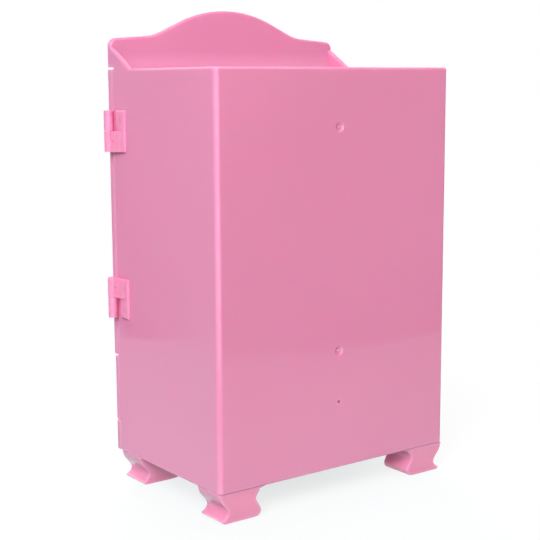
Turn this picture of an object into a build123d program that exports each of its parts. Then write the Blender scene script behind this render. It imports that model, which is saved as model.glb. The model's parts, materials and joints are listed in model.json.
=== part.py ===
"""Dolls' wardrobe in moulded plastic: two doors over one drawer, an ogee crest and four bracket feet.

Frame: millimetres, +Z up, the front faces -Y and the doors open towards -Y.
The origin is on the floor, under the centre of the outer box.
"""
from build123d import *
from math import asin, cos, radians, sin, tan
import os

os.makedirs("parts", exist_ok=True)

# ---------------------------------------------------------------- carcass
CARCASS_WIDTH = 118.4        # across the outside of the side panels
CARCASS_DEPTH = 76.1         # front edge of the side panels to the back face
CARCASS_HEIGHT = 163.0       # underside to the top of the deck
WALL = 2.5                   # side, back, deck and bottom walls
BACK_CORNER_RADIUS = 2.0     # upright edges between back and sides
TOP_EDGE_RADIUS = 1.0
BOTTOM_EDGE_RADIUS = 0.6
INSIDE_RADIUS = 1.0

# marks left by the mould on the back face
GATE_HEIGHTS = (49.1, 139.7)     # above the underside
GATE_RADIUS = 2.1
GATE_DEPTH = 0.85
GATE_NUB_RADIUS = 0.5
PIT_PLACE = (-4.1, 112.6)        # across, and above the underside
PIT_RADIUS = 0.35
PIT_DEPTH = 0.25
VENT_HEIGHT = 27.8
VENT_RADIUS = 0.75

# ---------------------------------------------------------------- crest and ears
CREST_RISE = 25.2            # deck to the top of the dome
CREST_THICKNESS = 2.85
DOME_RADIUS = 59.0
FLANK_ANGLE = 24.0           # slope of the straight flank beside the dome, degrees
FLANK_COVE_RADIUS = 22.0     # hollow curve between flank and shoulder
SHOULDER_ANGLE = 4.3
SHOULDER_RISE = 12.4         # deck to the outer end of the shoulder
SHOULDER_CORNER_RADIUS = 3.3
CREST_EDGE_RADIUS = 1.1
CREST_GAP = 0.6              # underside of the overhang above the deck level
CREST_COVE_RADIUS = 7.5      # hollow fillet between the deck and the back of the crest
EAR_RISE = 9.0               # deck to the top of the ear, at the crest
EAR_LENGTH = 14.8            # run of the sloping edge
EAR_EDGE_RADIUS = 1.0
EAR_SLIT_DEPTH = 1.6         # slit over the door, behind the panel's front edge
EAR_SLIT_TIP = 0.3           # height of the slit at its inner end

# ---------------------------------------------------------------- fronts
FRONT_SEAM = 0.3             # between the panel edges and the backs of doors and drawer
DOOR_THICKNESS = 3.7
DOOR_TOP_DROP = 0.3          # door top below the deck level
DOOR_SPLIT = 0.6             # between the two doors
DOOR_EDGE_RADIUS = 0.9
DOOR_SKIN = 2.0
DOOR_RIM = 2.4               # width of the rim round the hollow back of a door
REVEAL = 0.9                 # between drawer front and doors
PLINTH_HEIGHT = 13.0
PLINTH_RAIL_THICKNESS = 3.0
PLINTH_PLATE = 2.2
PLINTH_RIB = 1.6
PLINTH_RIB_COUNT = 7
PLINTH_REVEAL = 0.5          # between plinth and drawer front
DRAWER_FRONT_HEIGHT = 27.8
DRAWER_FRONT_THICKNESS = 3.0

# relief of the fronts
PANEL_MARGIN = 8.0           # edge of the front to the sunk border
PANEL_SINK = 0.7
PANEL_BORDER = 3.2           # width of the sunk border round the raised field
FIELD_RISE = 0.5
ARCH_RISE = 5.0              # arched top of a door's panel
DRAWER_PANEL_MARGIN = 5.0
RELIEF_CORNER_RADIUS = 1.6

# ---------------------------------------------------------------- hinges
HINGE_HEIGHT = 17.1
HINGE_INSET = 25.2           # middle of a hinge to the nearer end of the door
KNUCKLE_RADIUS = 1.95
HINGE_AXIS_OUT = 2.2         # pin axis outside the side panel
KNUCKLE_GAP = 0.2            # between the two knuckles of a hinge
LEAF_ARM_THICKNESS = 2.6
LEAF_PAD_THICKNESS = 1.0
LEAF_ARM_REACH = 6.0         # behind the pad's front edge, where the arm has thinned away
LEAF_PAD_SETBACK = 3.9       # pin axis to the front of the pad
LEAF_PAD_LENGTH = 6.9
LEAF_PAD_EDGE_RADIUS = 0.75
LEAF_DIMPLE_RADIUS = 0.65
LEAF_DIMPLE_DEPTH = 0.6
LEAF_PEG_RADIUS = 1.1
LEAF_PEG_SPACING = 9.0
PIN_RADIUS = 0.8
PIN_REACH = 6.0              # length of the pin in each knuckle
PIN_CLEARANCE = 0.06         # radial, in the door's knuckle
PIN_END_CLEARANCE = 0.3

# ---------------------------------------------------------------- knobs
KNOB_REACH = 6.0             # out from the face it is on
KNOB_RADIUS = 3.3
KNOB_NECK_RADIUS = 1.7
KNOB_NECK_LENGTH = 2.2
KNOB_NECK_FLARE = 0.5        # neck's ends wider than its waist
KNOB_SHANK_RADIUS = 1.2
KNOB_FROM_SPLIT = 4.2        # door knob axis to the door's free edge
KNOB_LEVEL = 57.0            # door knob axis above the door's bottom edge
DRAWER_KNOB_SPACING = 60.0

# ---------------------------------------------------------------- inside
SHELF_THICKNESS = 2.2
SHELF_SETBACK = 0.5          # behind the panels' front edges
SHELF_SIDE_CLEARANCE = 0.1
SHELF_LIP_DROP = 3.0
SHELF_LIP_THICKNESS = 1.6
LEDGE_SIZE = 1.6
RAIL_RADIUS = 2.0
RAIL_DROP = 13.0             # rail axis below the deck's underside
RAIL_END_CLEARANCE = 0.3
SOCKET_RADIUS = 4.0
SOCKET_LENGTH = 4.0
SOCKET_FLOOR = 1.2

TRAY_WALL = 1.8
TRAY_SIDE_CLEARANCE = 0.6
TRAY_FLOOR_CLEARANCE = 0.3
TRAY_TOP_CLEARANCE = 0.6     # tray side under the shelf's lip
TRAY_REAR_CLEARANCE = 1.5
TRAY_CORNER_RADIUS = 1.2
STOP_NUB_HEIGHT = 1.7
STOP_NUB_LENGTH = 3.0
STOP_NUB_SETBACK = 18.0      # rear of the tray to the stop nubs
FRONT_PEG_RADIUS = 1.5
FRONT_PEG_SPACING = 84.0
FRONT_PEG_LEVEL = 7.0        # above the bottom edge of the drawer front

# ---------------------------------------------------------------- feet
FOOT_HEIGHT = 12.0
FOOT_DEPTH = 15.2
FOOT_REAR_INSET = 0.5        # from the back face
FOOT_FRONT_INSET = 1.0       # from the panels' front edges
FOOT_PEG_RADIUS = 1.5
FOOT_PEG_SPACING = 8.0
FOOT_PEG_INSET = 10.5        # side face to the pegs
# scroll profile: inward from the side face, and down from the underside
FOOT_OUTER_CURVE = ((0.1, 0.0), (1.1, -2.9), (3.3, -5.7), (4.4, -8.3), (3.2, -10.1), (1.6, -11.1))
FOOT_INNER_CURVE = ((18.6, -11.7), (19.8, -9.9), (18.6, -6.8), (17.7, -3.6), (19.2, -1.3), (22.6, 0.0))

# ---------------------------------------------------------------- derived places
HALF_WIDTH = CARCASS_WIDTH / 2
INNER_HALF_WIDTH = HALF_WIDTH - WALL
BACK_Y = (CARCASS_DEPTH + FRONT_SEAM + DOOR_THICKNESS + KNOB_REACH) / 2
FRONT_Y = BACK_Y - CARCASS_DEPTH                 # front edges of the side panels
INNER_BACK_Y = BACK_Y - WALL
FRONTS_BACK_Y = FRONT_Y - FRONT_SEAM             # backs of the doors and the drawer front
DOOR_FACE_Y = FRONTS_BACK_Y - DOOR_THICKNESS
DRAWER_FACE_Y = FRONTS_BACK_Y - DRAWER_FRONT_THICKNESS
CREST_BACK_Y = DOOR_FACE_Y + CREST_THICKNESS

UNDERSIDE_Z = FOOT_HEIGHT
BOTTOM_TOP_Z = UNDERSIDE_Z + WALL
DECK_Z = UNDERSIDE_Z + CARCASS_HEIGHT
DECK_UNDER_Z = DECK_Z - WALL
CREST_FOOT_Z = DECK_Z + CREST_GAP
PLINTH_TOP_Z = UNDERSIDE_Z + PLINTH_HEIGHT
DRAWER_BOTTOM_Z = PLINTH_TOP_Z + PLINTH_REVEAL
DRAWER_TOP_Z = DRAWER_BOTTOM_Z + DRAWER_FRONT_HEIGHT
DOOR_BOTTOM_Z = DRAWER_TOP_Z + REVEAL
DOOR_TOP_Z = DECK_Z - DOOR_TOP_DROP
SHELF_UNDER_Z = DRAWER_TOP_Z + REVEAL / 2 - SHELF_THICKNESS / 2
SHELF_LIP_Z = SHELF_UNDER_Z - SHELF_LIP_DROP
SHELF_LIP_BACK_Y = FRONT_Y + SHELF_SETBACK + SHELF_LIP_THICKNESS
TRAY_HALF_WIDTH = INNER_HALF_WIDTH - TRAY_SIDE_CLEARANCE
TRAY_FLOOR_Z = PLINTH_TOP_Z + TRAY_FLOOR_CLEARANCE
TRAY_TOP_Z = SHELF_LIP_Z - TRAY_TOP_CLEARANCE
TRAY_BACK_Y = INNER_BACK_Y - TRAY_REAR_CLEARANCE
STOP_NUB_Y = TRAY_BACK_Y - STOP_NUB_SETBACK      # rear face of the stop nubs
FRONT_PEG_Z = DRAWER_BOTTOM_Z + FRONT_PEG_LEVEL

HINGE_AXIS_X = HALF_WIDTH + HINGE_AXIS_OUT
HINGE_MIDDLES = {"lower": DOOR_BOTTOM_Z + HINGE_INSET, "upper": DOOR_TOP_Z - HINGE_INSET}
KNUCKLE_LENGTH = (HINGE_HEIGHT - KNUCKLE_GAP) / 2
LEAF_PAD_Y = FRONT_Y + LEAF_PAD_SETBACK
LEAF_PEG_Y = LEAF_PAD_Y + LEAF_PAD_LENGTH / 2
RAIL_Y = (FRONT_Y + INNER_BACK_Y) / 2
RAIL_Z = DECK_UNDER_Z - RAIL_DROP
DOOR_KNOB_X = DOOR_SPLIT / 2 + KNOB_FROM_SPLIT
DOOR_KNOB_Z = DOOR_BOTTOM_Z + KNOB_LEVEL
DRAWER_KNOB_Z = (DRAWER_BOTTOM_Z + DRAWER_TOP_Z) / 2
FOOT_BACK_Y = {"rear": BACK_Y - FOOT_REAR_INSET, "front": FRONT_Y + FOOT_FRONT_INSET + FOOT_DEPTH}

SINK = 0.5                   # how far a joined feature starts inside the wall that carries it


# ---------------------------------------------------------------- shape helpers
def block(x0, x1, y0, y1, z0, z1):
    """A box between two values on each axis."""
    size = Box(x1 - x0, y1 - y0, z1 - z0, align=(Align.MIN, Align.MIN, Align.MIN))
    return Pos(x0, y0, z0) * size


def upright(x, y, z0, z1, radius):
    """A cylinder standing along Z."""
    rod = Cylinder(radius, z1 - z0, align=(Align.CENTER, Align.CENTER, Align.MIN))
    return Pos(x, y, z0) * rod


def rod_x(x0, x1, y, z, radius):
    """A cylinder lying along X."""
    rod = Cylinder(radius, x1 - x0, align=(Align.CENTER, Align.CENTER, Align.MIN))
    return Pos(x0, y, z) * Rot(0, 90, 0) * rod


def rod_y(x, y0, y1, z, radius):
    """A cylinder lying along Y."""
    rod = Cylinder(radius, y1 - y0, align=(Align.CENTER, Align.CENTER, Align.MIN))
    return Pos(x, y0, z) * Rot(-90, 0, 0) * rod


def plate_y(face, y0, y1):
    """A face drawn in X and Z, made solid between two values of Y."""
    return Pos(0, y1, 0) * extrude(Plane.XZ * face, y1 - y0)


def edges_on(solid, axis, value):
    """The straight edges of a solid that lie in the plane where axis has this value."""
    return solid.edges().filter_by_position(axis, value - 0.01, value + 0.01)


def sided(name, side):
    """A piece built on the right, or its mirror image for the left."""
    return name if side == "right" else mirror(name, about=Plane.YZ)


# ---------------------------------------------------------------- carcass
def shell():
    """Back, sides, deck and bottom: one box moulding, open to the front."""
    box = block(-HALF_WIDTH, HALF_WIDTH, FRONT_Y, BACK_Y, UNDERSIDE_Z, DECK_Z)
    corners = edges_on(box, Axis.Y, BACK_Y).filter_by(Axis.Z)
    box = fillet(corners, BACK_CORNER_RADIUS)
    front = edges_on(box, Axis.Y, FRONT_Y)
    box = fillet(edges_on(box, Axis.Z, DECK_Z) - front, TOP_EDGE_RADIUS)
    front = edges_on(box, Axis.Y, FRONT_Y)
    box = fillet(edges_on(box, Axis.Z, UNDERSIDE_Z) - front, BOTTOM_EDGE_RADIUS)
    room = block(
        -INNER_HALF_WIDTH, INNER_HALF_WIDTH, FRONT_Y - SINK, INNER_BACK_Y, BOTTOM_TOP_Z, DECK_UNDER_Z
    )
    room = fillet(edges_on(room, Axis.Y, INNER_BACK_Y), INSIDE_RADIUS)
    return box - room


def crest_outline():
    """The crest seen from the front: dome, straight flanks, hollow curves and sloping shoulders."""
    flank = radians(FLANK_ANGLE)
    shoulder = radians(SHOULDER_ANGLE)
    apex_z = DECK_Z + CREST_RISE
    end_z = DECK_Z + SHOULDER_RISE
    dome_x = DOME_RADIUS * sin(flank)
    dome_z = apex_z - DOME_RADIUS * (1 - cos(flank))
    cove_dx = FLANK_COVE_RADIUS * (sin(flank) - sin(shoulder))
    cove_dz = FLANK_COVE_RADIUS * (cos(shoulder) - cos(flank))
    # the flank is as long as brings the end of the hollow curve onto the shoulder's line
    level = end_z + (HALF_WIDTH - dome_x - cove_dx) * tan(shoulder)
    flank_length = (dome_z - cove_dz - level) / (sin(flank) - cos(flank) * tan(shoulder))
    cove_x = dome_x + flank_length * cos(flank)
    cove_z = dome_z - flank_length * sin(flank)
    middle = (flank + shoulder) / 2
    cove_mid_x = cove_x + FLANK_COVE_RADIUS * (sin(flank) - sin(middle))
    cove_mid_z = cove_z - FLANK_COVE_RADIUS * (cos(middle) - cos(flank))
    shoulder_x = cove_x + cove_dx
    shoulder_z = cove_z - cove_dz
    lines = [ThreePointArc((-dome_x, dome_z), (0, apex_z), (dome_x, dome_z))]
    for s in (-1, 1):
        lines.append(Line((s * dome_x, dome_z), (s * cove_x, cove_z)))
        lines.append(
            ThreePointArc(
                (s * cove_x, cove_z), (s * cove_mid_x, cove_mid_z), (s * shoulder_x, shoulder_z)
            )
        )
        lines.append(Line((s * shoulder_x, shoulder_z), (s * HALF_WIDTH, end_z)))
        lines.append(Line((s * HALF_WIDTH, end_z), (s * HALF_WIDTH, CREST_FOOT_Z)))
    lines.append(Line((-HALF_WIDTH, CREST_FOOT_Z), (HALF_WIDTH, CREST_FOOT_Z)))
    face = make_face(lines)
    ends = face.vertices().filter_by_position(Axis.Y, end_z - 0.01, end_z + 0.01)
    return fillet(ends, SHOULDER_CORNER_RADIUS)


def crest():
    """The crest board, flush with the door faces, with its rims softened."""
    board = plate_y(crest_outline(), DOOR_FACE_Y, CREST_BACK_Y)
    rims = edges_on(board, Axis.Y, DOOR_FACE_Y) + edges_on(board, Axis.Y, CREST_BACK_Y)
    foot = edges_on(board, Axis.Z, CREST_FOOT_Z)
    return fillet(rims - foot, CREST_EDGE_RADIUS)


def crest_cove():
    """The hollow fillet that joins the back of the crest to the deck."""
    radius = CREST_COVE_RADIUS
    top_z = DECK_Z + radius
    end_y = CREST_BACK_Y + radius
    bend = radius * (1 - cos(radians(45)))
    curve = ThreePointArc((CREST_BACK_Y, top_z), (CREST_BACK_Y + bend, DECK_Z + bend), (end_y, DECK_Z))
    rest = Polyline(
        (end_y, DECK_Z),
        (end_y, DECK_Z - SINK),
        (FRONT_Y, DECK_Z - SINK),
        (FRONT_Y, CREST_FOOT_Z),
        (CREST_BACK_Y - SINK, CREST_FOOT_Z),
        (CREST_BACK_Y - SINK, top_z),
        (CREST_BACK_Y, top_z),
    )
    half = HALF_WIDTH - SINK
    face = Plane.YZ * make_face([curve, rest])
    return Pos(-half, 0, 0) * extrude(face, 2 * half)


def ear():
    """The right side panel's sloping top, from the crest down to the deck."""
    top_z = DECK_Z + EAR_RISE
    end_y = CREST_BACK_Y + EAR_LENGTH
    outline = Polyline(
        (DOOR_FACE_Y + CREST_EDGE_RADIUS, CREST_FOOT_Z),
        (DOOR_FACE_Y + CREST_EDGE_RADIUS, top_z),
        (CREST_BACK_Y, top_z),
        (end_y, DECK_Z),
        (end_y, DECK_UNDER_Z),
        (FRONT_Y, DECK_UNDER_Z),
        (FRONT_Y, CREST_FOOT_Z),
        close=True,
    )
    panel = Pos(INNER_HALF_WIDTH, 0, 0) * extrude(Plane.YZ * make_face(outline), WALL)
    slope = [e for e in panel.edges() if e.center().Z > DECK_Z + 1 and abs(e.length - WALL) > 0.01]
    slope = [e for e in slope if CREST_BACK_Y + 1 < e.center().Y < end_y - 1]
    return fillet(slope, EAR_EDGE_RADIUS)


def ear_slit():
    """The slit under the right ear, over the door, which runs on behind the panel's front edge."""
    middle_z = (DOOR_TOP_Z + CREST_FOOT_Z) / 2
    end_y = FRONT_Y + EAR_SLIT_DEPTH
    outline = Polyline(
        (DOOR_FACE_Y - SINK, DOOR_TOP_Z),
        (FRONT_Y, DOOR_TOP_Z),
        (end_y, middle_z - EAR_SLIT_TIP / 2),
        (end_y, middle_z + EAR_SLIT_TIP / 2),
        (FRONT_Y, CREST_FOOT_Z),
        (DOOR_FACE_Y - SINK, CREST_FOOT_Z),
        close=True,
    )
    start_x = INNER_HALF_WIDTH - SINK
    return Pos(start_x, 0, 0) * extrude(Plane.YZ * make_face(outline), HALF_WIDTH + SINK - start_x)


def shelf_ledge():
    """The ledge under the right edge of the shelf."""
    return block(
        INNER_HALF_WIDTH - LEDGE_SIZE, INNER_HALF_WIDTH + SINK,
        SHELF_LIP_BACK_Y + SHELF_SIDE_CLEARANCE, INNER_BACK_Y + SINK,
        SHELF_UNDER_Z - LEDGE_SIZE, SHELF_UNDER_Z,
    )


def rail_socket():
    """The blind socket on the right wall that takes one end of the hanging rail."""
    boss = rod_x(INNER_HALF_WIDTH - SOCKET_LENGTH, INNER_HALF_WIDTH + SINK, RAIL_Y, RAIL_Z, SOCKET_RADIUS)
    bore = rod_x(
        INNER_HALF_WIDTH - SOCKET_LENGTH, INNER_HALF_WIDTH - SOCKET_FLOOR, RAIL_Y, RAIL_Z, RAIL_RADIUS
    )
    return boss - bore


def leaf_pegs(middle_z):
    """The two pegs that fix a right-hand hinge leaf through the side panel."""
    pegs = [
        rod_x(INNER_HALF_WIDTH, HALF_WIDTH, LEAF_PEG_Y, middle_z + s * LEAF_PEG_SPACING / 2, LEAF_PEG_RADIUS)
        for s in (-1, 1)
    ]
    return pegs[0] + pegs[1]


def foot_pegs(place):
    """The two pegs that fix a right-hand foot through the bottom."""
    middle_y = FOOT_BACK_Y[place] - FOOT_DEPTH / 2
    x = HALF_WIDTH - FOOT_PEG_INSET
    pegs = [
        upright(x, middle_y + s * FOOT_PEG_SPACING / 2, UNDERSIDE_Z, BOTTOM_TOP_Z, FOOT_PEG_RADIUS)
        for s in (-1, 1)
    ]
    return pegs[0] + pegs[1]


def gate_mark(height):
    """A shallow round dish with a nub in it, where the plastic entered the mould."""
    z = UNDERSIDE_Z + height
    floor_y = BACK_Y - GATE_DEPTH
    dish_radius = (GATE_RADIUS**2 + GATE_DEPTH**2) / (2 * GATE_DEPTH)
    dish = Pos(0, floor_y + dish_radius, z) * Sphere(dish_radius)
    nub = Pos(0, floor_y, z) * Sphere(GATE_NUB_RADIUS)
    return dish - nub


def pit():
    """A tiny pit in the back face."""
    x, height = PIT_PLACE
    return rod_y(x, BACK_Y - PIT_DEPTH, BACK_Y + SINK, UNDERSIDE_Z + height, PIT_RADIUS)


def carcass():
    """The cabinet moulding with its crest, ears, ledges, sockets and peg holes."""
    body = shell() + crest_cove() + crest()
    for side in ("right", "left"):
        body += sided(ear(), side)
        body += sided(shelf_ledge(), side)
        body += sided(rail_socket(), side)
        body -= sided(ear_slit(), side)
        for middle_z in HINGE_MIDDLES.values():
            body -= sided(leaf_pegs(middle_z), side)
        for place in FOOT_BACK_Y:
            body -= sided(foot_pegs(place), side)
    for height in GATE_HEIGHTS:
        body -= gate_mark(height)
    body -= pit()
    body -= rod_y(0, INNER_BACK_Y - SINK, BACK_Y + SINK, UNDERSIDE_Z + VENT_HEIGHT, VENT_RADIUS)
    return body


# ---------------------------------------------------------------- base and inside
def plinth():
    """The front rail under the drawer, with the ribbed floor that the drawer runs on."""
    rail = block(-HALF_WIDTH, HALF_WIDTH, FRONT_Y - PLINTH_RAIL_THICKNESS, FRONT_Y, UNDERSIDE_Z, PLINTH_TOP_Z)
    face = edges_on(rail, Axis.Y, FRONT_Y - PLINTH_RAIL_THICKNESS)
    rail = fillet(face, BOTTOM_EDGE_RADIUS)
    half = INNER_HALF_WIDTH - SHELF_SIDE_CLEARANCE
    rear_y = INNER_BACK_Y - INSIDE_RADIUS
    piece = rail + block(-half, half, FRONT_Y - SINK, rear_y, PLINTH_TOP_Z - PLINTH_PLATE, PLINTH_TOP_Z)
    pitch = (2 * half - PLINTH_RIB) / (PLINTH_RIB_COUNT - 1)
    for n in range(PLINTH_RIB_COUNT):
        x = -half + n * pitch
        rib_top_z = PLINTH_TOP_Z - PLINTH_PLATE / 2
        piece += block(x, x + PLINTH_RIB, FRONT_Y - SINK, rear_y, BOTTOM_TOP_Z, rib_top_z)
    return piece


def foot_profile():
    """The bracket foot seen from the front, on the right: scrolled outside, bracket inside."""
    outer = [(HALF_WIDTH - d, UNDERSIDE_Z + z) for d, z in FOOT_OUTER_CURVE]
    inner = [(HALF_WIDTH - d, UNDERSIDE_Z + z) for d, z in FOOT_INNER_CURVE]
    toe_x = outer[-1][0]
    heel_x = inner[0][0]
    pad = UNDERSIDE_Z - FOOT_HEIGHT
    curl = UNDERSIDE_Z + FOOT_OUTER_CURVE[-1][1] - pad
    lines = [
        Spline(*outer, tangents=((-0.35, -1), (0.9, -0.6))),
        Line(outer[-1], (toe_x - curl, pad)),
        Line((toe_x - curl, pad), (heel_x + 2 * curl, pad)),
        Line((heel_x + 2 * curl, pad), inner[0]),
        Spline(*inner, tangents=((-0.9, 0.7), (-1, 0.25))),
        Line(inner[-1], outer[0]),
    ]
    return make_face(lines)


def foot(place):
    """One right-hand foot with its two pegs."""
    back_y = FOOT_BACK_Y[place]
    bracket = plate_y(foot_profile(), back_y - FOOT_DEPTH, back_y)
    return bracket + foot_pegs(place)


def shelf():
    """The shelf over the drawer, with a front lip that stops the drawer."""
    half = INNER_HALF_WIDTH - SHELF_SIDE_CLEARANCE
    front_y = FRONT_Y + SHELF_SETBACK
    rear_y = INNER_BACK_Y - INSIDE_RADIUS
    board = block(-half, half, front_y, rear_y, SHELF_UNDER_Z, SHELF_UNDER_Z + SHELF_THICKNESS)
    return board + block(-half, half, front_y, SHELF_LIP_BACK_Y, SHELF_LIP_Z, SHELF_UNDER_Z + SINK)


def hanging_rail():
    """The rail for the clothes, held at both ends in the sockets."""
    half = INNER_HALF_WIDTH - SOCKET_FLOOR - RAIL_END_CLEARANCE
    return rod_x(-half, half, RAIL_Y, RAIL_Z, RAIL_RADIUS)


# ---------------------------------------------------------------- hinges
def knuckle_span(which, owner):
    """Lowest and highest Z of one knuckle: the pair is stacked so that the door can't lift off."""
    middle = HINGE_MIDDLES[which]
    door_is_above = which == "upper"
    above = door_is_above == (owner == "door")
    if above:
        return middle + KNUCKLE_GAP / 2, middle + KNUCKLE_GAP / 2 + KNUCKLE_LENGTH
    return middle - KNUCKLE_GAP / 2 - KNUCKLE_LENGTH, middle - KNUCKLE_GAP / 2


def pin_hole(which, clearance):
    """The hole for a right-hand hinge's pin, with room past both of its ends."""
    middle = HINGE_MIDDLES[which]
    reach = PIN_REACH + PIN_END_CLEARANCE
    return upright(HINGE_AXIS_X, FRONT_Y, middle - reach, middle + reach, PIN_RADIUS + clearance)


def leaf_arm(low, high):
    """The arm between a right-hand leaf's knuckle and pad, thinning down into the pad."""
    outer_x = HALF_WIDTH + LEAF_ARM_THICKNESS
    back_y = LEAF_PAD_Y + LEAF_ARM_REACH
    corners = (
        (HALF_WIDTH, FRONT_Y),
        (outer_x, FRONT_Y),
        (outer_x, FRONT_Y + KNUCKLE_RADIUS),
        (HALF_WIDTH + LEAF_PAD_THICKNESS - SINK, back_y),
        (HALF_WIDTH, back_y),
    )
    outline = make_face(Polyline(*corners, close=True))
    return Pos(0, 0, low) * extrude(outline, high - low)


def hinge_leaf(which):
    """The right-hand hinge's fixed half: pad, arm, knuckle and two pegs."""
    middle = HINGE_MIDDLES[which]
    low, high = knuckle_span(which, "leaf")
    pad = block(
        HALF_WIDTH, HALF_WIDTH + LEAF_PAD_THICKNESS,
        LEAF_PAD_Y, LEAF_PAD_Y + LEAF_PAD_LENGTH,
        middle - HINGE_HEIGHT / 2, middle + HINGE_HEIGHT / 2,
    )
    pad = fillet(edges_on(pad, Axis.X, HALF_WIDTH + LEAF_PAD_THICKNESS), LEAF_PAD_EDGE_RADIUS)
    arm_x = HALF_WIDTH + LEAF_ARM_THICKNESS
    dimple = rod_x(
        arm_x - LEAF_DIMPLE_DEPTH, arm_x + SINK,
        (FRONT_Y + LEAF_PAD_Y) / 2 + KNUCKLE_RADIUS / 2, (low + high) / 2, LEAF_DIMPLE_RADIUS,
    )
    knuckle = upright(HINGE_AXIS_X, FRONT_Y, low, high, KNUCKLE_RADIUS)
    leaf = pad + leaf_arm(low, high) + knuckle - dimple
    return leaf + leaf_pegs(middle) - pin_hole(which, 0)


def hinge_pin(which):
    """The right-hand hinge's pin: pressed in the leaf's knuckle, free in the door's."""
    middle = HINGE_MIDDLES[which]
    pin = upright(HINGE_AXIS_X, FRONT_Y, middle - PIN_REACH, middle + PIN_REACH, PIN_RADIUS)
    return chamfer(pin.edges().filter_by(GeomType.CIRCLE), PIN_RADIUS / 5)


# ---------------------------------------------------------------- doors, drawer and knobs
def arched_face(x0, x1, z0, z1, rise):
    """A rectangle whose top bows up by rise, with eased corners."""
    lines = [Polyline((x0, z1), (x0, z0), (x1, z0), (x1, z1))]
    if rise > 0:
        lines.append(ThreePointArc((x1, z1), ((x0 + x1) / 2, z1 + rise), (x0, z1)))
    else:
        lines.append(Line((x1, z1), (x0, z1)))
    face = make_face(lines)
    return fillet(face.vertices(), RELIEF_CORNER_RADIUS)


def panel_relief(x0, x1, z0, z1, rise, face_y):
    """What is cut from a front: a sunk border round a raised field."""
    border = plate_y(arched_face(x0, x1, z0, z1, rise), face_y - SINK, face_y + PANEL_SINK)
    inset = PANEL_BORDER
    field = arched_face(x0 + inset, x1 - inset, z0 + inset, z1 - inset, rise)
    sunk_y = face_y + PANEL_SINK
    return border - plate_y(field, sunk_y - FIELD_RISE, sunk_y + SINK)


def door_board():
    """The right door without its knuckles: relief in front, a rim round a shallow hollow behind."""
    x0 = DOOR_SPLIT / 2
    x1 = HALF_WIDTH
    board = block(x0, x1, DOOR_FACE_Y, FRONTS_BACK_Y, DOOR_BOTTOM_Z, DOOR_TOP_Z)
    board = fillet(edges_on(board, Axis.Y, DOOR_FACE_Y), DOOR_EDGE_RADIUS)
    board -= panel_relief(
        x0 + PANEL_MARGIN, x1 - PANEL_MARGIN,
        DOOR_BOTTOM_Z + PANEL_MARGIN, DOOR_TOP_Z - PANEL_MARGIN - ARCH_RISE,
        ARCH_RISE, DOOR_FACE_Y,
    )
    hollow = block(
        x0 + DOOR_RIM, x1 - DOOR_RIM,
        DOOR_FACE_Y + DOOR_SKIN, FRONTS_BACK_Y + SINK,
        DOOR_BOTTOM_Z + DOOR_RIM, DOOR_TOP_Z - DOOR_RIM,
    )
    return board - fillet(hollow.edges().filter_by(Axis.Y), RELIEF_CORNER_RADIUS)


def door():
    """The right door with its two knuckles and the hole for its knob."""
    piece = door_board()
    for which in HINGE_MIDDLES:
        low, high = knuckle_span(which, "door")
        piece += block(HALF_WIDTH - SINK, HINGE_AXIS_X, FRONT_Y - KNUCKLE_RADIUS, FRONTS_BACK_Y, low, high)
        piece += upright(HINGE_AXIS_X, FRONT_Y, low, high, KNUCKLE_RADIUS)
        piece -= pin_hole(which, PIN_CLEARANCE)
    return piece - knob_hole(DOOR_KNOB_X, DOOR_KNOB_Z, DOOR_FACE_Y, DOOR_SKIN)


def knob_hole(x, z, face_y, skin):
    """The hole through a front's skin for a knob's shank."""
    return rod_y(x, face_y - SINK, face_y + skin + SINK, z, KNOB_SHANK_RADIUS)


def knob(x, z, face_y, shank):
    """A round knob: shank in the front, waisted neck, domed head. Turned about its own axis."""
    dome = (KNOB_REACH - KNOB_NECK_LENGTH) / 2
    rim = KNOB_REACH - dome
    dome_radius = (KNOB_RADIUS**2 + dome**2) / (2 * dome)
    half_turn = asin(KNOB_RADIUS / dome_radius) / 2
    on_dome = (dome_radius * sin(half_turn), KNOB_REACH - dome_radius * (1 - cos(half_turn)))
    foot_radius = KNOB_NECK_RADIUS + KNOB_NECK_FLARE
    lines = [
        Polyline(
            (0, KNOB_REACH),
            (0, -shank),
            (KNOB_SHANK_RADIUS, -shank),
            (KNOB_SHANK_RADIUS, 0),
            (foot_radius, 0),
        ),
        ThreePointArc(
            (foot_radius, 0), (KNOB_NECK_RADIUS, KNOB_NECK_LENGTH / 2), (foot_radius, KNOB_NECK_LENGTH)
        ),
        RadiusArc((foot_radius, KNOB_NECK_LENGTH), (KNOB_RADIUS, rim), -dome),
        ThreePointArc((KNOB_RADIUS, rim), on_dome, (0, KNOB_REACH)),
    ]
    turned = revolve(Plane.XZ * make_face(lines), Axis.Z)
    return Pos(x, face_y, z) * Rot(90, 0, 0) * turned


def drawer_front():
    """The drawer's face, over the front edges of the side panels, with pegs for the tray."""
    board = block(-HALF_WIDTH, HALF_WIDTH, DRAWER_FACE_Y, FRONTS_BACK_Y, DRAWER_BOTTOM_Z, DRAWER_TOP_Z)
    board = fillet(edges_on(board, Axis.Y, DRAWER_FACE_Y), DOOR_EDGE_RADIUS)
    board -= panel_relief(
        -HALF_WIDTH + DRAWER_PANEL_MARGIN, HALF_WIDTH - DRAWER_PANEL_MARGIN,
        DRAWER_BOTTOM_Z + DRAWER_PANEL_MARGIN, DRAWER_TOP_Z - DRAWER_PANEL_MARGIN,
        0, DRAWER_FACE_Y,
    )
    for s in (-1, 1):
        board += front_peg(s)
        board -= knob_hole(s * DRAWER_KNOB_SPACING / 2, DRAWER_KNOB_Z, DRAWER_FACE_Y, DRAWER_FRONT_THICKNESS)
    return board


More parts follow.
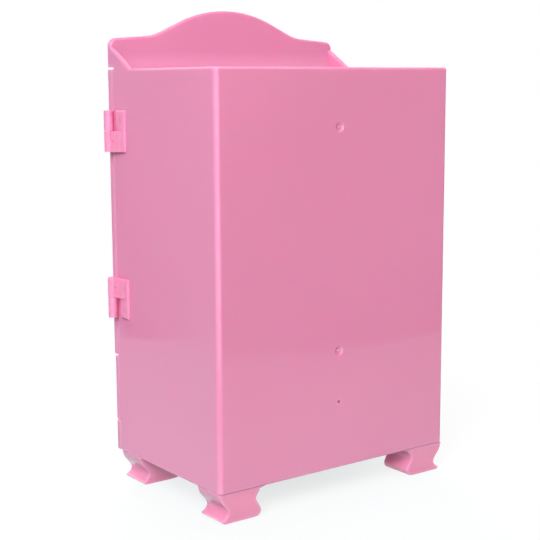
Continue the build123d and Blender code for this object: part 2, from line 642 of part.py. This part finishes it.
def front_peg(s):
    """A peg on the back of the drawer front, pressed into the tray's front wall."""
    x = s * FRONT_PEG_SPACING / 2
    return rod_y(x, FRONTS_BACK_Y, FRONTS_BACK_Y + TRAY_WALL, FRONT_PEG_Z, FRONT_PEG_RADIUS)


def drawer_tray():
    """The open tray behind the drawer front, with stop nubs on its side walls."""
    half = TRAY_HALF_WIDTH
    tray = block(-half, half, FRONTS_BACK_Y, TRAY_BACK_Y, TRAY_FLOOR_Z, TRAY_TOP_Z)
    tray = fillet(edges_on(tray, Axis.Y, TRAY_BACK_Y).filter_by(Axis.Z), TRAY_CORNER_RADIUS)
    inside = half - TRAY_WALL
    room = block(
        -inside, inside,
        FRONTS_BACK_Y + TRAY_WALL, TRAY_BACK_Y - TRAY_WALL,
        TRAY_FLOOR_Z + TRAY_WALL, TRAY_TOP_Z + SINK,
    )
    tray -= fillet(room.edges().filter_by(Axis.Z), TRAY_CORNER_RADIUS)
    for s in (-1, 1):
        x0, x1 = sorted((s * inside, s * half))
        nub_front_y = STOP_NUB_Y - STOP_NUB_LENGTH
        tray += block(x0, x1, nub_front_y, STOP_NUB_Y, TRAY_TOP_Z - SINK, TRAY_TOP_Z + STOP_NUB_HEIGHT)
        tray -= front_peg(s)
    return tray


# ---------------------------------------------------------------- every piece
def pieces():
    """Each separate piece of the wardrobe by name."""
    found = {
        "carcass": carcass(),
        "plinth": plinth(),
        "shelf": shelf(),
        "hanging_rail": hanging_rail(),
        "drawer_front": drawer_front(),
        "drawer_tray": drawer_tray(),
    }
    for side in ("left", "right"):
        found[f"door_{side}"] = sided(door(), side)
        found[f"door_knob_{side}"] = sided(knob(DOOR_KNOB_X, DOOR_KNOB_Z, DOOR_FACE_Y, DOOR_SKIN), side)
        found[f"drawer_knob_{side}"] = sided(
            knob(DRAWER_KNOB_SPACING / 2, DRAWER_KNOB_Z, DRAWER_FACE_Y, DRAWER_FRONT_THICKNESS), side
        )
        for which in HINGE_MIDDLES:
            found[f"hinge_leaf_{which}_{side}"] = sided(hinge_leaf(which), side)
            found[f"hinge_pin_{which}_{side}"] = sided(hinge_pin(which), side)
        for place in FOOT_BACK_Y:
            found[f"foot_{place}_{side}"] = sided(foot(place), side)
    return found


for name, piece in pieces().items():
    export_step(piece, f"parts/{name}.step")

travel = STOP_NUB_Y - STOP_NUB_LENGTH - SHELF_LIP_BACK_Y
print(f"drawer travel to its stop: {travel:.2f}")
print(f"hinge axis at x {HINGE_AXIS_X:.3f}, y {FRONT_Y:.3f}")
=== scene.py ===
"""Dolls' wardrobe in glossy pink plastic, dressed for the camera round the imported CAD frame."""
import json
import math

import bpy
from mathutils import Matrix, Vector


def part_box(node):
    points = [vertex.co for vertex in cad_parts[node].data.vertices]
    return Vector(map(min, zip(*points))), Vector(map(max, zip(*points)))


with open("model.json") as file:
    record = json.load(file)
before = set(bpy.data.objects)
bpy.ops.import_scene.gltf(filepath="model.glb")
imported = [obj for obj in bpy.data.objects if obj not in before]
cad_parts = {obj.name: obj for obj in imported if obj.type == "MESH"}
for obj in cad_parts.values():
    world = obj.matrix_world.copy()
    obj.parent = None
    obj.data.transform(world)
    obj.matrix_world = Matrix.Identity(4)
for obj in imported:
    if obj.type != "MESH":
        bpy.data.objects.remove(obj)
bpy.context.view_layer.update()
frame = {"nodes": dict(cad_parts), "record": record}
NODES = frame["nodes"]

MM = 0.001

# ---------------------------------------------------------------- camera
CAMERA_PLACE = Vector((309.7, 414.1, 169.6)) * MM
CAMERA_AZIMUTH = 143.46      # degrees, 0 looks along +Y
CAMERA_ELEVATION = 8.84
CAMERA_ROLL = -0.27
CAMERA_LENS = 80.9           # mm, on the sensor below
CAMERA_SENSOR = 36.0


def make_camera():
    """The camera at the photograph's viewing angle."""
    data = bpy.data.cameras.new("camera")
    data.lens = CAMERA_LENS
    data.sensor_width = CAMERA_SENSOR
    data.clip_start = 0.01
    data.clip_end = 20.0
    camera = bpy.data.objects.new("camera", data)
    bpy.context.scene.collection.objects.link(camera)
    a = math.radians(CAMERA_AZIMUTH)
    e = math.radians(CAMERA_ELEVATION)
    back = Vector((math.sin(a) * math.cos(e), -math.cos(a) * math.cos(e), math.sin(e)))
    level = Vector((math.cos(a), math.sin(a), 0))
    rise = back.cross(level)
    roll = math.radians(CAMERA_ROLL)
    right = level * math.cos(roll) + rise * math.sin(roll)
    up = back.cross(right)
    turn = Matrix((right, up, back)).transposed()
    camera.rotation_mode = "QUATERNION"
    camera.location = CAMERA_PLACE
    camera.rotation_quaternion = turn.to_quaternion()
    bpy.context.scene.camera = camera


# ---------------------------------------------------------------- node materials
class Nodes:
    """A short way to build a node material round its Principled shader."""

    def __init__(self, name):
        self.material = bpy.data.materials.new(name)
        self.material.use_nodes = True
        self.tree = self.material.node_tree
        self.shader = self.tree.nodes["Principled BSDF"]
        self.place = self.add("ShaderNodeTexCoord").outputs["Object"]

    def add(self, kind, **values):
        """A new node; each value is one of its input sockets or else one of its settings."""
        node = self.tree.nodes.new(kind)
        for key, value in values.items():
            if key in node.inputs:
                node.inputs[key].default_value = value
            else:
                setattr(node, key, value)
        return node

    def link(self, source, target):
        """A link from an output socket to an input socket."""
        self.tree.links.new(source, target)

    def show(self, shader):
        """Makes a shader's output the surface of the material."""
        self.link(shader, self.tree.nodes["Material Output"].inputs["Surface"])

    def axes(self, vector):
        """The X, Y and Z sockets of a vector."""
        node = self.add("ShaderNodeSeparateXYZ")
        self.link(vector, node.inputs[0])
        return node.outputs

    def facing(self):
        """The X, Y and Z of the direction in which the face looks."""
        return self.axes(self.add("ShaderNodeNewGeometry").outputs["True Normal"])

    def math(self, kind, first, second=None):
        """One arithmetic step on a socket and, where it takes two, a number or another socket."""
        node = self.add("ShaderNodeMath", operation=kind)
        self.link(first, node.inputs[0])
        if isinstance(second, bpy.types.NodeSocket):
            self.link(second, node.inputs[1])
        elif second is not None:
            node.inputs[1].default_value = second
        return node.outputs["Value"]

    def noise(self, scale, detail, stretch=(1, 1, 1)):
        """Noise on the object's own coordinates, in features per metre."""
        mapping = self.add("ShaderNodeMapping", Scale=stretch)
        self.link(self.place, mapping.inputs["Vector"])
        noise = self.add("ShaderNodeTexNoise", Scale=scale, Detail=detail)
        self.link(mapping.outputs["Vector"], noise.inputs["Vector"])
        return noise.outputs["Fac"]

    def spread(self, source, low, high, to_low, to_high):
        """The stretch low to high of a value, mapped to another range and held at its ends."""
        node = self.add("ShaderNodeMapRange")
        self.link(source, node.inputs["Value"])
        for key, value in (("From Min", low), ("From Max", high), ("To Min", to_low), ("To Max", to_high)):
            node.inputs[key].default_value = value
        return node.outputs["Result"]

    def mix(self, factor, first, second):
        """Colour between first and second; either may be a colour or a socket."""
        node = self.add("ShaderNodeMix", data_type="RGBA")
        self.link(factor, node.inputs["Factor"])
        for socket, value in ((node.inputs[6], first), (node.inputs[7], second)):
            if isinstance(value, bpy.types.NodeSocket):
                self.link(value, socket)
            else:
                socket.default_value = (*value, 1)
        return node.outputs[2]

    def bump(self, height, distance, strength=1.0, normal=None):
        """The normal of a relief, laid over another normal where there is one."""
        node = self.add("ShaderNodeBump", Distance=distance, Strength=strength)
        self.link(height, node.inputs["Height"])
        if normal is not None:
            self.link(normal, node.inputs["Normal"])
        return node.outputs["Normal"]


def shaded(colour, share):
    """A colour with each channel taken times the same share."""
    return tuple(channel * share for channel in colour)


# ---------------------------------------------------------------- plastic
# colours are linear
PINK = (0.645, 0.235, 0.385)
HINGE_PINK = (0.68, 0.245, 0.395)
FOOT_PINK = (0.700, 0.252, 0.398)
CREST_PINK = (0.592, 0.217, 0.362)   # darker, because the thin crest lets light through
# the paler pink of a painted highlight on rounded edges
EDGE_HIGHLIGHT_PINK = (0.68, 0.34, 0.50)
# painted shade in gaps and corners, then the pink of a painted glow there
HOLLOW_SHADE_PINK = (0.52, 0.13, 0.27)
PAINTED_GLOW_PINK = (1.0, 0.10, 0.26)

CREST_FROM = 175 * MM        # height of the deck
CREST_BLEND = 6 * MM

PLASTIC_IOR = 1.58
SCATTER_WEIGHT = 0.9
SCATTER_DEPTH = 2.5 * MM
SCATTER_SPREAD = (1.0, 0.55, 0.75)   # share of the depth that each colour reaches

BOW_MIDDLE = 93 * MM         # height of the middle of the cabinet's panels
BOW_HALF = 82 * MM
BOW_DEPTH = 1.2 * MM

# noise scales are in features per metre; a range is the stretch of values over which a look sets in
NOISE_RANGE = (0.3, 0.7)     # nearly all noise lies in it
CLOUD_SCALE = 9.0            # flow mottling
CLOUD_DARK = 0.985
CLOUD_PALE = 1.012
SPECK_SCALE = 520.0
SPECK_RANGE = (0.76, 0.80)
SPECK_SHADE = 0.8
SPECK_AMOUNT = 0.12
RUB_SCALE = 70.0
RUB_RANGE = (0.40, 0.75)
RUB_ROUGHNESS = 0.05
RIPPLE_SCALE = 22.0
RIPPLE_DEPTH = 0.10 * MM
GRAIN_SCALE = 700.0
GRAIN_DEPTH = 0.0012 * MM

MASK_SAMPLES = 4
EDGE_REACH = 1.5 * MM
EDGE_RANGE = (0.55, 0.95)    # of the open share within the wall: low at an edge, 1 on a flat
# share of the painted highlight that edges get
EDGE_HIGHLIGHT = 0.45
EDGE_ROUGHNESS = 0.35
FLAT_SPECULAR = 0.5
EDGE_SPECULAR = 0.12
# painted shade and painted glow in gaps and corners, found by an occlusion mask
HOLLOW_REACH = 6 * MM
HOLLOW_RANGE = (0.2, 0.85)   # of the open share outside it: low in a hollow, 1 in the open
HOLLOW_SHADE_SHARE = 0.75
HOLLOW_PAINTED_GLOW = 0.14
DUST_SCALE = 40.0
LEVEL_RANGE = (0.90, 0.99)   # of the normal's Z
DUST_ROUGHNESS = 0.42
DUST_PATCHES = 0.06


def bowed(n, place, middle, half):
    """1 in the middle of a panel falling as a square to 0 at its edge, along one coordinate."""
    centred = n.math("SUBTRACT", place, middle)
    share = n.math("DIVIDE", centred, half)
    square = n.math("MULTIPLY", share, share)
    rise = n.math("SUBTRACT", n.math("MULTIPLY", square, -1.0), -1.0)
    return n.math("MAXIMUM", rise, 0.0)


def panel_bow(n):
    """Height of the cabinet's panels, which shrank inwards a little as they cooled in the mould."""
    low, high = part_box("carcass")
    middle = (low + high) / 2
    half = (high - low) / 2
    place = n.axes(n.place)
    across = bowed(n, place["X"], middle.x, half.x)
    along = bowed(n, place["Y"], middle.y, half.y)
    upright = bowed(n, place["Z"], BOW_MIDDLE, BOW_HALF)
    on_side = n.math("ABSOLUTE", n.facing()["X"])
    choice = n.add("ShaderNodeMix")
    n.link(on_side, choice.inputs["Factor"])
    n.link(n.math("MULTIPLY", across, upright), choice.inputs[2])
    n.link(n.math("MULTIPLY", along, upright), choice.inputs[3])
    return n.math("MULTIPLY", choice.outputs[0], -1.0)


def rounded_edges(n):
    """1 on rounded or sharp edges, which get a painted highlight in paler pink and a softer gloss, and 0 on
    flats.
    """
    near = n.add("ShaderNodeAmbientOcclusion", samples=MASK_SAMPLES, inside=True, Distance=EDGE_REACH)
    return n.spread(near.outputs["AO"], *EDGE_RANGE, 1.0, 0.0)


def painted_hollow_mask(n):
    """1 deep in a narrow gap or corner, where the colour gets painted shade and a painted glow that stands
    in for light seeping through the plastic, and 0 in the open.
    """
    gap = n.add("ShaderNodeAmbientOcclusion", samples=MASK_SAMPLES, Distance=HOLLOW_REACH)
    return n.spread(gap.outputs["AO"], *HOLLOW_RANGE, 1.0, 0.0)


def settled_dust(n):
    """The roughness of faces that look up, where a little dust dulls the gloss; 0 elsewhere."""
    thinnest = DUST_ROUGHNESS - DUST_PATCHES
    thickest = DUST_ROUGHNESS + DUST_PATCHES
    cover = n.spread(n.noise(DUST_SCALE, detail=3.0), *NOISE_RANGE, thinnest, thickest)
    level = n.spread(n.facing()["Z"], *LEVEL_RANGE, 0.0, 1.0)
    return n.math("MULTIPLY", level, cover)


def colour_plastic(n, colour, edge, edge_highlight, has_crest):
    """Base colour with faint mottling and specks, with painted shade and a painted glow in gaps and corners
    and a painted highlight on edges.
    """
    cloud = n.spread(n.noise(CLOUD_SCALE, detail=3.0), *NOISE_RANGE, 0.0, 1.0)
    body = n.mix(cloud, shaded(colour, CLOUD_DARK), shaded(colour, CLOUD_PALE))
    speck = n.spread(n.noise(SPECK_SCALE, detail=1.0), *SPECK_RANGE, 0.0, SPECK_AMOUNT)
    body = n.mix(speck, body, shaded(colour, SPECK_SHADE))
    if has_crest:
        thin = n.spread(n.axes(n.place)["Z"], CREST_FROM, CREST_FROM + CREST_BLEND, 0.0, 1.0)
        body = n.mix(thin, body, CREST_PINK)
    hollow = painted_hollow_mask(n)
    # painted shade: gaps and corners mixed towards a darker pink
    body = n.mix(n.math("MULTIPLY", hollow, HOLLOW_SHADE_SHARE), body, HOLLOW_SHADE_PINK)
    # painted highlight: edges mixed towards a paler pink
    body = n.mix(n.math("MULTIPLY", edge, edge_highlight), body, EDGE_HIGHLIGHT_PINK)
    n.link(body, n.shader.inputs["Base Color"])
    # painted glow: gaps and corners emit a little pink light, standing in for light seeping through the
    # plastic
    n.shader.inputs["Emission Color"].default_value = (*PAINTED_GLOW_PINK, 1)
    n.link(n.math("MULTIPLY", hollow, HOLLOW_PAINTED_GLOW), n.shader.inputs["Emission Strength"])


def polish_plastic(n, gloss, edge):
    """Gloss with fine rubs, softer on edges and duller on dusty faces."""
    rubbed = n.spread(n.noise(RUB_SCALE, detail=5.0), *RUB_RANGE, gloss, gloss + RUB_ROUGHNESS)
    dusty = n.math("MAXIMUM", rubbed, settled_dust(n))
    rough = n.math("MAXIMUM", dusty, n.math("MULTIPLY", edge, EDGE_ROUGHNESS))
    n.link(rough, n.shader.inputs["Roughness"])
    mirrored = n.spread(edge, 0.0, 1.0, FLAT_SPECULAR, EDGE_SPECULAR)
    n.link(mirrored, n.shader.inputs["Specular IOR Level"])


def relieve_plastic(n, ripple, is_bowed):
    """The bow of the cabinet's panels, the soft ripple of the mould and a fine grain."""
    bow = n.bump(panel_bow(n), BOW_DEPTH) if is_bowed else None
    waves = n.bump(n.noise(RIPPLE_SCALE, detail=1.0), RIPPLE_DEPTH * ripple, normal=bow)
    grain = n.bump(n.noise(GRAIN_SCALE, detail=2.0), GRAIN_DEPTH * ripple, normal=waves)
    n.link(grain, n.shader.inputs["Normal"])


def moulded_plastic(name, colour, gloss=0.07, ripple=1.0, edge_highlight=EDGE_HIGHLIGHT, is_cabinet=False):
    """Glossy injection-moulded plastic that light enters; the cabinet's has bowed panels and a crest."""
    n = Nodes(name)
    edge = rounded_edges(n)
    colour_plastic(n, colour, edge, edge_highlight, is_cabinet)
    polish_plastic(n, gloss, edge)
    relieve_plastic(n, ripple, is_cabinet)
    n.shader.inputs["IOR"].default_value = PLASTIC_IOR
    n.shader.inputs["Subsurface Weight"].default_value = SCATTER_WEIGHT
    n.shader.inputs["Subsurface Scale"].default_value = SCATTER_DEPTH
    n.shader.inputs["Subsurface Radius"].default_value = SCATTER_SPREAD
    return n.material


# ---------------------------------------------------------------- steel
WIRE_SCALE = 900.0
WIRE_STRETCH = (0.15, 0.15, 4.0)     # wide across the pin and fine along it, so lines go round it
WIRE_DARK = (0.45, 0.45, 0.47)
WIRE_BRIGHT = (0.72, 0.72, 0.74)
WIRE_ROUGHNESS = (0.22, 0.4)
WIRE_RELIEF = 0.02 * MM
WIRE_RELIEF_STRENGTH = 0.2


def drawn_steel(name):
    """Bright drawn wire: fine lines round the pin."""
    n = Nodes(name)
    lines = n.noise(WIRE_SCALE, detail=2.0, stretch=WIRE_STRETCH)
    n.link(n.mix(lines, WIRE_DARK, WIRE_BRIGHT), n.shader.inputs["Base Color"])
    n.link(n.spread(lines, *NOISE_RANGE, *WIRE_ROUGHNESS), n.shader.inputs["Roughness"])
    n.link(n.bump(lines, WIRE_RELIEF, WIRE_RELIEF_STRENGTH), n.shader.inputs["Normal"])
    n.shader.inputs["Metallic"].default_value = 1.0
    return n.material


# ---------------------------------------------------------------- CAD nodes
SOFT_EDGES = {               # width in mm, by the start of the node's name
    "foot_": 0.9,
    "plinth": 0.3,
    "drawer_tray": 0.3,
    "shelf": 0.3,
}
SOFT_SEGMENTS = 3
SOFT_ANGLE = 35              # degrees; edges that turn less stay as they are
WELD_REACH = 0.002 * MM


def dress_nodes():
    """Each CAD node gets the plastic or steel of its slot in the record."""
    finishes = {
        "cabinet_plastic": moulded_plastic("cabinet_plastic", PINK, gloss=0.04, is_cabinet=True),
        "front_plastic": moulded_plastic("front_plastic", PINK),
        "inner_plastic": moulded_plastic("inner_plastic", PINK, gloss=0.16),
        "knob_plastic": moulded_plastic("knob_plastic", PINK, gloss=0.10, ripple=0.5),
        # the hinge leaves get no painted highlight on their edges; the feet get a stronger one
        "hinge_plastic": moulded_plastic(
            "hinge_plastic", HINGE_PINK, gloss=0.16, ripple=0.6, edge_highlight=0.0
        ),
        "foot_plastic": moulded_plastic("foot_plastic", FOOT_PINK, gloss=0.10, edge_highlight=0.7),
        "pin_steel": drawn_steel("pin_steel"),
    }
    slots = {entry["node"]: entry["material_slot"] for entry in frame["record"]["subparts"]}
    for name, node in NODES.items():
        node.data.materials.clear()
        node.data.materials.append(finishes[slots[name]])


def soften(node, width):
    """Rounds the sharp edges of a CAD node by a small bevel."""
    weld = node.modifiers.new("weld", "WELD")
    weld.merge_threshold = WELD_REACH
    bevel = node.modifiers.new("bevel", "BEVEL")
    bevel.width = width * MM
    bevel.segments = SOFT_SEGMENTS
    bevel.limit_method = "ANGLE"
    bevel.angle_limit = math.radians(SOFT_ANGLE)
    bevel.harden_normals = True


def soften_nodes():
    """The moulded edges that the CAD nodes leave sharp."""
    for name, node in NODES.items():
        for start, width in SOFT_EDGES.items():
            if name.startswith(start):
                soften(node, width)


# ---------------------------------------------------------------- floor and table
FLOOR_HALF = 3.0
FLOOR_DARK = (0.82, 0.82, 0.825)
FLOOR_PALE = (0.86, 0.86, 0.86)
FLOOR_CLOUD_SCALE = 6.0
FLOOR_ROUGHNESS = 0.8
FADE_START = -0.35           # less than no distance: the floor is more than half white at the object
FADE_END = 0.22              # and plain white from this distance on
TABLE_RISE = 0.05 * MM       # over the floor
TABLE_FAR = 0.7              # table edges before the doors and beyond the left side
TABLE_SIDE = 0.230           # table edge beyond the cabinet's right side
TABLE_BACK = 0.276           # table edge behind the cabinet
TABLE_RIM = 0.18             # the table is darker towards its edges over this width
SIDE_RIM_LEVEL = 0.6
BACK_RIM_LEVEL = 0.6
TABLE_MIRROR = (0.97, 1.17, 1.15)
TABLE_BOUNCE = (0.29, 0.31, 0.33)


def sheet_mesh(name, x0, x1, y0, y1, z):
    """A flat rectangle at height z."""
    mesh = bpy.data.meshes.new(name)
    corners = [(x0, y0, z), (x1, y0, z), (x1, y1, z), (x0, y1, z)]
    mesh.from_pydata(corners, [], [(0, 1, 2, 3)])
    sheet = bpy.data.objects.new(name, mesh)
    bpy.context.scene.collection.objects.link(sheet)
    return sheet


def floor_paper():
    """Pale matt paper that fades to plain white away from the object."""
    n = Nodes("floor_paper")
    cloud = n.noise(FLOOR_CLOUD_SCALE, detail=3.0)
    n.link(n.mix(cloud, FLOOR_DARK, FLOOR_PALE), n.shader.inputs["Base Color"])
    n.shader.inputs["Roughness"].default_value = FLOOR_ROUGHNESS
    away = n.add("ShaderNodeVectorMath", operation="LENGTH")
    n.link(n.place, away.inputs[0])
    white = n.add("ShaderNodeEmission")
    seen = n.add("ShaderNodeMixShader")
    n.link(n.spread(away.outputs["Value"], FADE_START, FADE_END, 0.0, 1.0), seen.inputs["Fac"])
    n.link(n.shader.outputs["BSDF"], seen.inputs[1])
    n.link(white.outputs["Emission"], seen.inputs[2])
    n.show(seen.outputs["Shader"])
    return n.material


def table_glow():
    """The white table as the plastic sees it: a mirrored glow and a softer bounce."""
    n = Nodes("table_paper")
    n.tree.nodes.remove(n.shader)
    mirrored = n.add("ShaderNodeLightPath").outputs["Is Glossy Ray"]
    place = n.axes(n.place)
    side_rim = n.spread(place["X"], TABLE_SIDE - TABLE_RIM, TABLE_SIDE, 1.0, SIDE_RIM_LEVEL)
    back_rim = n.spread(place["Y"], TABLE_BACK - TABLE_RIM, TABLE_BACK, 1.0, BACK_RIM_LEVEL)
    glow = n.add("ShaderNodeEmission")
    n.link(n.mix(mirrored, TABLE_BOUNCE, TABLE_MIRROR), glow.inputs["Color"])
    n.link(n.math("MULTIPLY", side_rim, back_rim), glow.inputs["Strength"])
    n.show(glow.outputs["Emission"])
    return n.material


def make_floor():
    """The floor that the camera sees, and the table that only the plastic sees."""
    floor = sheet_mesh("floor", -FLOOR_HALF, FLOOR_HALF, -FLOOR_HALF, FLOOR_HALF, 0)
    floor.data.materials.append(floor_paper())
    floor.visible_glossy = False
    floor.visible_diffuse = False
    table = sheet_mesh("table", -TABLE_FAR, TABLE_SIDE, -TABLE_FAR, TABLE_BACK, TABLE_RISE)
    table.data.materials.append(table_glow())
    table.visible_camera = False
    table.visible_shadow = False
    table.visible_transmission = False


# ---------------------------------------------------------------- light
LIGHT_AIM = Vector((0, 0, 0.1))
SOFT_BOXES = {               # place, size, power in watts, colour
    "front_box": ((0.80, 1.05, 0.10), (1.3, 1.0), 10.7, (1.0, 0.98, 0.97)),
    "left_box": ((1.05, 0.50, 0.80), (0.9, 0.7), 15.4, (0.82, 0.90, 1.0)),
    "right_box": ((0.58, 0.88, 0.80), (0.8, 0.6), 12.9, (1.0, 0.92, 0.84)),
    "door_box": ((-0.35, -1.15, 0.60), (0.9, 0.8), 13.5, (1.0, 0.97, 0.97)),
    "far_box": ((-1.15, -0.10, 0.50), (0.7, 0.7), 9.0, (0.97, 0.98, 1.0)),
}
UNMIRRORED = ("left_box", "door_box", "far_box")     # would glare at grazing angles

ROOM_DIRECTION = (0.6, 0.8, 0.0)     # from the middle to behind the camera
# the room's colour from the backdrop before the doors (0) round to behind the camera (1)
ROOM = [
    (0.20, (1.15, 1.15, 1.15)),
    (0.34, (0.20, 0.20, 0.21)),
    (0.55, (0.20, 0.19, 0.18)),
]


def area_light(name, place, size, power, colour):
    """A rectangular soft box that faces the object."""
    data = bpy.data.lights.new(name, "AREA")
    data.shape = "RECTANGLE"
    data.size, data.size_y = size
    data.energy = power
    data.color = colour
    light = bpy.data.objects.new(name, data)
    light.location = place
    light.rotation_mode = "QUATERNION"
    light.rotation_quaternion = (LIGHT_AIM - light.location).to_track_quat("-Z", "Y")
    light.visible_glossy = name not in UNMIRRORED
    bpy.context.scene.collection.objects.link(light)


def make_lights():
    """Three soft boxes on the camera's side, one for the doors and one for the far side."""
    for name, (place, size, power, colour) in SOFT_BOXES.items():
        area_light(name, place, size, power, colour)


def make_world():
    """The room: white to look at; the plastic sees a pale backdrop in front and a dim room behind."""
    world = bpy.data.worlds.new("room")
    world.use_nodes = True
    nodes = world.node_tree.nodes
    links = world.node_tree.links
    seen = nodes["Background"]
    seen.inputs["Color"].default_value = (1, 1, 1, 1)
    towards = nodes.new("ShaderNodeVectorMath")
    towards.operation = "DOT_PRODUCT"
    towards.inputs[1].default_value = ROOM_DIRECTION
    links.new(nodes.new("ShaderNodeTexCoord").outputs["Generated"], towards.inputs[0])
    turn = nodes.new("ShaderNodeMapRange")
    turn.inputs["From Min"].default_value = -1.0
    links.new(towards.outputs["Value"], turn.inputs["Value"])
    ramp = nodes.new("ShaderNodeValToRGB")
    links.new(turn.outputs["Result"], ramp.inputs["Fac"])
    stops = ramp.color_ramp.elements
    while len(stops) < len(ROOM):
        stops.new(0.5)
    for stop, (position, colour) in zip(stops, ROOM):
        stop.position = position
        stop.color = (*colour, 1)
    lit = nodes.new("ShaderNodeBackground")
    links.new(ramp.outputs["Color"], lit.inputs["Color"])
    choice = nodes.new("ShaderNodeMixShader")
    links.new(nodes.new("ShaderNodeLightPath").outputs["Is Camera Ray"], choice.inputs["Fac"])
    links.new(lit.outputs["Background"], choice.inputs[1])
    links.new(seen.outputs["Background"], choice.inputs[2])
    links.new(choice.outputs["Shader"], nodes["World Output"].inputs["Surface"])
    bpy.context.scene.world = world


make_camera()
dress_nodes()
soften_nodes()
make_floor()
make_world()
make_lights()
bpy.context.scene.view_settings.view_transform = "Standard"
